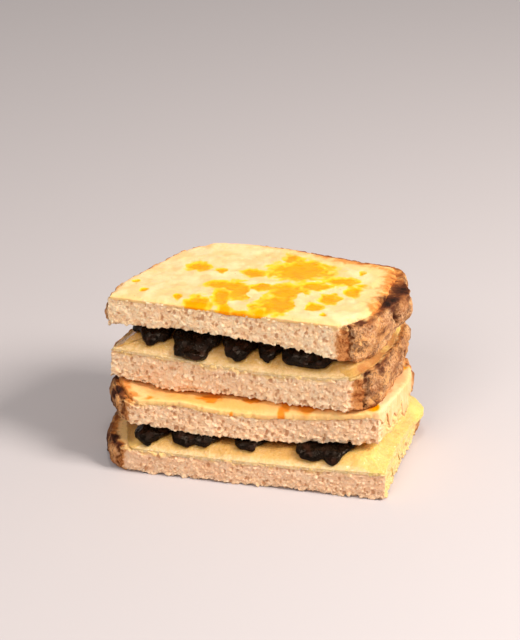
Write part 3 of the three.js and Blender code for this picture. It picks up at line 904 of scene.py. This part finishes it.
def cheeseSheet(name, look):
    # a slab whose upper side slopes up from a thin lip and is rolled by low hills; the lip hangs
    # unevenly over the bread's edge
    edge = outline(look, cheeseForm["spacing"], cheeseForm["spacing"])
    steps = cheeseForm["rowsIn"]
    insetsIn = np.concatenate([np.linspace(0.8, 13.0, steps), [13.0] * 5])
    rows = lipRows(insetsIn, np.concatenate([np.zeros(steps), np.linspace(0.1, 0.9, 5)]), cheeseForm["out"])
    grid = slabGrid(edge, rows, look["under"], look["under"])
    place = np.array(grid)
    salt = look["salt"]
    isFront = (edge["isCut"] > 0) & (edge["points"][:, 0] < 50)
    length = dripLengths(edge["points"], look) * np.where(isFront, 0.25, 1.0)
    inset, share = rows["inset"], rows["share"]
    closed = np.vstack([edge["points"], edge["points"][:1]])
    fromEdge = distanceToLine(place[..., 0], place[..., 1], closed[::4])
    depth = cheeseDepth(fromEdge * (inset > 0.3)[:, None], look["depth"]) * share[:, None]
    rolls = hills(place, (0.5, 8.0, salt), (0.3, 3.5, salt + 1), (0.14, 1.5, salt + 5))
    rolls = rolls * share[:, None] * ramp(inset, 0.0, 2.0)[:, None]
    grid[..., 2] = grid[..., 2] + cheeseForm["gap"] + depth + rolls
    grid[..., 2] = grid[..., 2] - rows["drop"][:, None] - rows["drip"][:, None] * length[None, :]
    grid[..., 2] = np.minimum(grid[..., 2], look["above"](grid[..., 0], grid[..., 1]) - 0.1)
    bulge = 0.45 * ramp(length, 1.5, 4.0)[None, :] * ((share < 0.9) & (inset < 0.1))[:, None]
    grain = hills(place, (0.3, 2.2, salt + 7), (0.3, 1.1, salt + 8))
    bulge = bulge + grain * (inset < 0.5)[:, None]
    wavy = 0.9 * softNoise(place, 8.0, salt + 6) * (1 - edge["isCut"])[None, :]
    wavy = wavy * ramp(inset, 9.0, 1.0)[:, None]
    grid[..., :2] = grid[..., :2] + edge["away"][None] * (bulge + wavy)[..., None]
    # spots that are partly browning and partly painted shade
    browned = np.zeros(grid.shape[:2])
    for bx, by, radius, strength in look["browned"]:
        away = np.hypot(place[..., 0] - bx, place[..., 1] - by)
        browned = np.maximum(browned, strength * (1 - ramp(away, 0.3 * radius, radius)))
    x, y = place[..., 0], place[..., 1]
    cutLine = np.array(look["cut"][:2], float)
    fromCut = distanceToLine(x, y, cutLine) + 1.5 * softNoise(place, 5.0, salt + 9)
    fromCrust = distanceToLine(x, y, np.array(look["crust"], float))
    # painted shade under the bread above: darker from 2.5 mm behind the cut, fading out towards the right
    # end and the back
    inner = ramp(fromCut, 2.5, 11.0) * (1 - ramp(x, 36.0, 50.0)) * (1 - ramp(fromCut, 22.0, 36.0))
    layers = {
        "thin": (1 - ramp(inset, 0.0, 4.5))[:, None] * isFront[None, :],
        "rim": 1 - ramp(fromCrust, 2.0, 9.0),
        "browned": browned,
        "inner": inner,
        # painted light: lighter at the lit right end and at the unlit back
        "bright": np.maximum(ramp(x, 30.0, 50.0) * look["rightEnd"], 0.85 * ramp(y, 6.0, 26.0)),
    }
    return meshPiece(name.replace("_cheese", "Cheese"), grid, layers, materials["cheese"], name)


for name, look in cheeseSheets.items():
    piece = cheeseSheet(name, look)
    print("cheese:", piece.name, len(piece.data.polygons), "faces")


# The grilled cheese on top of each half. patches: where it browned, as x, y, half sizes and turn in
# degrees. bare: the same, where a patch is broken. drips: x, y, half width and drop. scorched: how
# orange the sheet is; on the lower half this is partly its colour and partly painted shade under the
# slice above, which also darkens its browned patches. hang and taper: how far the front edge hangs and
# thins.
toppings = {
    "lower_topping": {
        "cut": [(-47, -27), (52, -20.3), (55.8, -4), (58.6, 12), (57, 26)],
        "crust": [(52, 36), (42, 42.5), (20, 44.5), (-10, 44.5), (-34, 42.5), (-51, 37), (-59, 24),
                  (-61, 4), (-60, -10), (-55, -20), (-50, -25.5)],
        "under": sliceTwoTop, "above": sliceThreeUnder, "bank": bank, "slice": "lower_bread_over",
        "depth": 1.5, "salt": 151, "scorched": 0.8, "hang": 0.4, "taper": 0.4,
        "patches": [(-19, -18.5, 3.8, 3.0, 0), (-1, -17.5, 3.4, 1.6, 0), (13, -18.3, 2.2, 2.4, 0),
                    (11.6, -22, 0.9, 3.0, 10), (22, -18.6, 4.2, 2.0, 8), (49, -15.6, 1.8, 2.4, 0),
                    (-8.5, -24.6, 0.8, 0.7, 0), (-46, -24.6, 5.0, 1.5, 0), (36, -16, 3, 1.5, 0),
                    (52, 33, 3, 7, 10), (20, 10, 12, 9, 0), (-20, 20, 14, 9, 20)],
        "bare": [],
        "drips": [(53, -16, 2.5, 4.0), (55, -9, 3, 7.5), (56.5, -2, 3, 6), (58, 7, 4, 9.0),
                  (58.3, 17, 3.5, 8.0)],
    },
    "upper_topping": {
        "cut": [(-62.5, -12.4), (34.5, -20.9)],
        "crust": [(40, -16), (45, -7.5), (48, 4), (48.5, 20), (48.5, 33), (45, 40), (34, 43), (14, 48),
                  (-5, 52), (-22, 52), (-35, 48), (-43.5, 41.5), (-49.5, 29.5), (-55.5, 16), (-61, 2)],
        "under": sliceFourTop, "slice": "upper_bread_over",
        "depth": 1.6, "salt": 171, "scorched": 0.0, "hang": 0.2, "taper": 0.8,
        "patches": [(10, 27, 9.6, 8.4, 13), (2.5, 38, 2.2, 4, 13), (-21, 6.3, 4.4, 2.6, 13),
                    (-11.6, 1, 4, 7.8, 13), (-17, -6, 3.2, 6.4, 13), (-3, 7.6, 4.2, 3.2, 13),
                    (8.4, 5, 5.8, 5.8, 13), (5.8, -8.4, 6.2, 6.4, 13), (-13, -17, 2.8, 4.4, 13),
                    (-6, -19, 3.6, 2.2, 0), (1, -18, 2.4, 3.6, 13), (-25, -14, 3.2, 5.6, 13),
                    (19, 12.7, 5, 2.8, 13), (28.7, 19.7, 4.2, 3.4, 13), (34.8, 10, 2.4, 3.8, 13),
                    (38, 16.6, 2.6, 1.4, 13), (26.6, 1.5, 3, 3.8, 13), (21.5, -7.9, 2.9, 2.2, 30),
                    (26.6, -15, 1, 1.3, 0), (35, 30, 1.1, 1.5, 0), (-34.4, 22.8, 3.5, 3.4, 20),
                    (-24.7, 20.3, 1.8, 1.7, 0), (-9.5, 21, 3.8, 3.2, 13), (-34.4, -9.2, 1.1, 1.8, 0),
                    (-50, -6, 1.3, 1.2, 0), (-56, 2, 1.2, 1.3, 0)],
        "bare": [(-4.9, -2, 1.6, 4.6, 13), (-8.5, -12, 2.6, 3.6, 40), (-3, 12.5, 9, 0.8, 13),
                 (15.5, -3, 1.6, 6, 13)],
        "drips": [(-12, -17, 5, 1.0), (-3, -18, 3, 0.9), (12, -19, 3, 0.6)],
    },
}
toppingForm = {"gap": 0.05, "spacing": 0.48, "rowsIn": 92, "out": 0.15}


def patchMask(x, y, patches):
    # 1 in the middle of each ellipse, falling to 0 past its edge; overlapping ellipses join
    mask = np.zeros(x.shape)
    for px, py, halfX, halfY, turn in patches:
        c, s = math.cos(math.radians(turn)), math.sin(math.radians(turn))
        along = ((x - px) * c + (y - py) * s) / halfX
        across = (-(x - px) * s + (y - py) * c) / halfY
        mask = np.maximum(mask, 1.4 - 0.72 * np.sqrt(along**2 + across**2))
    return np.clip(mask, 0, 1.2)


def topping(name, look):
    # a thin sheet over the slice. Low cream hills, with smooth hollows where it browned; it thins
    # to nothing towards the crust, and hangs over the cut in uneven tongues.
    edge = outline(look, toppingForm["spacing"], toppingForm["spacing"])
    steps = toppingForm["rowsIn"]
    rows = lipRows(np.full(steps, 0.8), np.linspace(0.0, 0.985, steps), toppingForm["out"])
    grid = slabGrid(edge, rows, look["under"], look["under"])
    salt = look["salt"]
    place = np.array(grid)
    inset, share = rows["inset"], rows["share"]
    bread = breadSlices[look["slice"]]
    x, y = place[..., 0], place[..., 1]
    fromCrust = distanceToLine(x, y, crustLines[look["slice"]][::3])
    fromCut = distanceToLine(x, y, np.array(look["cut"], float))
    warped = place + 1.3 * drift(place, 4.5, salt + 20) + 0.7 * drift(place, 1.9, salt + 24)
    ragged = hills(place, (0.3, 3.2, salt), (0.22, 1.4, salt + 1))
    amber = patchMask(warped[..., 0], warped[..., 1], look["patches"])
    amber = amber - 0.9 * ramp(patchMask(warped[..., 0], warped[..., 1], look["bare"]), 0.25, 0.8)
    amber = np.clip(amber + ragged * ramp(amber, 0.0, 0.3), 0, 1)
    nearCut = 1 - ramp(fromCut, 0.5, 5.0)
    rightness = ramp(x, -45.0, 35.0)
    thin = 1 - ramp(fromCrust + 0.8 * softNoise(place, 3.0, salt + 8), 0.8, 3.5 + 3.0 * rightness)
    thin = thin * (1 - nearCut)
    # partly the sheet's colour, partly painted shade under the slice above; fading out at the right end
    scorched = np.clip(look["scorched"] + 0.35 * softNoise(place, 8.0, salt + 13), 0, 1)
    scorched = scorched * (1 - ramp(x, 44.0, 52.0))
    lumps = hills(place, (0.4, 8.0, salt + 5), (0.25, 3.4, salt + 6), (0.1, 1.5, salt + 7))
    hollow = 0.4 * ramp(amber, 0.3, 0.8)
    taper = look["taper"] * (1 - ramp(fromCut, 0.0, 3.5)) * ramp(52.0 - x, 0.0, 4.0)
    height = (look["depth"] + lumps * (1 - 0.65 * amber) - hollow) * (1 - 0.8 * thin) * (1 - taper)
    if "bank" in look:
        height = height + look["bank"](x, y)
        room = look["above"](x, y) - grid[..., 2] - 0.2
        height = np.minimum(height, room)
    height = np.maximum(height, 0.2) * share[:, None]
    length = dripLengths(edge["points"], look) * edge["isCut"]
    length = length * np.where(edge["points"][:, 0] > 50, 1.0, look["hang"])
    grid[..., 2] = grid[..., 2] + toppingForm["gap"] + height
    grid[..., 2] = grid[..., 2] - rows["drop"][:, None] - rows["drip"][:, None] * length[None, :]
    bulge = 0.5 * ramp(length, 1.5, 4.0)[None, :] * ((share < 0.9) & (inset < 0.1))[:, None]
    grain = hills(place, (0.3, 2.2, salt + 16), (0.35, 1.1, salt + 17))
    bulge = bulge + grain * (inset < 0.5)[:, None]
    grid[..., :2] = grid[..., :2] + edge["away"][None] * bulge[..., None]
    toast = 1 - fromCrust / toastWidth(bread, rightness, y)
    layers = {
        "amber": amber,
        "scorched": scorched,
        "edge": (1 - ramp(fromCut, 0.0, 2.6)) * ramp(52.0 - x, 0.0, 4.0),
        "toast": np.clip(toast, 0, 1),
        "char": np.clip(burnMarks(place, bread["burns"]), 0, 1),
    }
    pieceName = name.replace("_topping", "Topping")
    return meshPiece(pieceName, grid, layers, materials["topping"], name)


for name, look in toppings.items():
    piece = topping(name, look)
    print("topping:", piece.name, len(piece.data.polygons), "faces")


# The dark pickled slices: middle x and y, half sizes, thickness, turn in radians.
lowerPickles = [
    (-43.5, -19.5, 6.6, 9.5, 4, 0.1), (-24, -18.5, 11, 9.5, 4.4, 0.9), (-2, -18, 7, 8.5, 3.2, 2),
    (30, -18, 11, 12, 4.2, 3), (-45, 10, 10, 11, 4.2, 1.4), (-19, 12, 10.5, 10, 4.2, 0.3),
    (7, 11, 10, 11, 4.2, 2.3), (34, 14, 11, 10, 4.2, 1.1), (-32, 34, 10.5, 8.5, 4.2, 2.8),
    (-4, 35, 11, 8.5, 4.2, 0.6), (26, 36, 11, 8, 4.2, 1.9),
]
upperPickles = [
    (-46, -4, 8, 9, 4.6, 0.4), (-27, -9.5, 9.5, 10, 4.8, 1.2), (-8, -7.5, 7.5, 9.5, 4.6, 2.2),
    (22.5, -11.5, 12.5, 8.5, 4.4, 0.2), (4.5, -9.5, 5.5, 7, 4, 1.2), (-39, 19, 9.5, 9.5, 4.6, 1.7),
    (-16, 17, 10, 10.5, 4.6, 0.8), (9, 18, 10.5, 9.5, 4.6, 2.9), (34, 15, 10, 10.5, 4.4, 1.3),
    (-26, 38, 9.5, 7, 4.6, 0.5), (-1, 38, 10.5, 7.5, 4.6, 2.1), (26, 36, 10, 7.5, 4.6, 1.5),
]
pickleForm = {
    "lobes": ((2, 0.05), (3, 0.06), (5, 0.04), (9, 0.02)), "points": 0.14,
    "columns": 150, "rows": 44, "gap": 0.15,
}


def pickledSlice(name, disc, sheet, salt):
    # a lobed disc with a rounded rim, lying on the cheese under the bread, with wrinkles pressed into it
    x0, y0, halfX, halfY, thickness, turn = disc
    a = np.linspace(0, 2 * np.pi, pickleForm["columns"], endpoint=False)
    reach = 1 + sum(size * np.cos(n * a + n * n * turn) for n, size in pickleForm["lobes"])
    reach = reach + pickleForm["points"] * (0.6 - np.abs(np.sin(2.5 * a + 3 * turn)))
    t = np.linspace(0.02, 0.98, pickleForm["rows"]) * np.pi
    outward = np.sin(t) ** 0.45
    share = 0.5 - 0.5 * np.sign(np.cos(t)) * np.abs(np.cos(t)) ** 0.6
    x = x0 + halfX * reach[None] * np.cos(a)[None] * outward[:, None]
    y = y0 + halfY * reach[None] * np.sin(a)[None] * outward[:, None]
    look = cheeseSheets[sheet]
    cheeseEdge = outline(look, 3.0, 3.0)["points"]
    inset = distanceToLine(x, y, np.vstack([cheeseEdge, cheeseEdge[:1]]))
    low = look["under"](x, y) + cheeseDepth(inset, look["depth"]) + pickleForm["gap"]
    high = np.minimum(low + thickness, look["above"](x, y) - 0.1)
    z = low + (high - low) * share[:, None]
    grid = np.stack([x, y, z], -1)
    normal = surfaceNormals(grid)
    wrinkles = 0.9 * softNoise(grid, 4.5, salt) - 0.8 * np.abs(softNoise(grid, 3.0, salt + 1))
    wrinkles = wrinkles + 0.15 * softNoise(grid, 1.2, salt + 2) + 0.2
    shaped = grid + normal * (wrinkles * outward[:, None])[..., None]
    return meshPiece(name.replace("_pickle_", "Pickle"), shaped, {}, materials["pickle"], name)


for half, discs in (("lower", lowerPickles), ("upper", upperPickles)):
    for number, disc in enumerate(discs, 1):
        pickledSlice(f"{half}_pickle_{number}", disc, f"{half}_cheese", 200 + 7 * number)
    print("pickled slices:", half, len(discs))


# A plain pale floor.
floorLook = {"reach": 3, "colour": paint(194, 185, 184), "roughness": 0.85}  # reach in metres
reach = floorLook["reach"]
floorCorners = [(-reach, -reach, 0), (reach, -reach, 0), (reach, reach, 0), (-reach, reach, 0)]
floorMesh = bpy.data.meshes.new("floor")
floorMesh.from_pydata(floorCorners, [], [(0, 1, 2, 3)])
floorPiece = bpy.data.objects.new("floor", floorMesh)
bpy.context.scene.collection.objects.link(floorPiece)
floorRecipe = Recipe("paleFloor")
floorRecipe.set(Base_Color=floorLook["colour"], Roughness=floorLook["roughness"])
floorMesh.materials.append(floorRecipe.material)
print("floor laid")
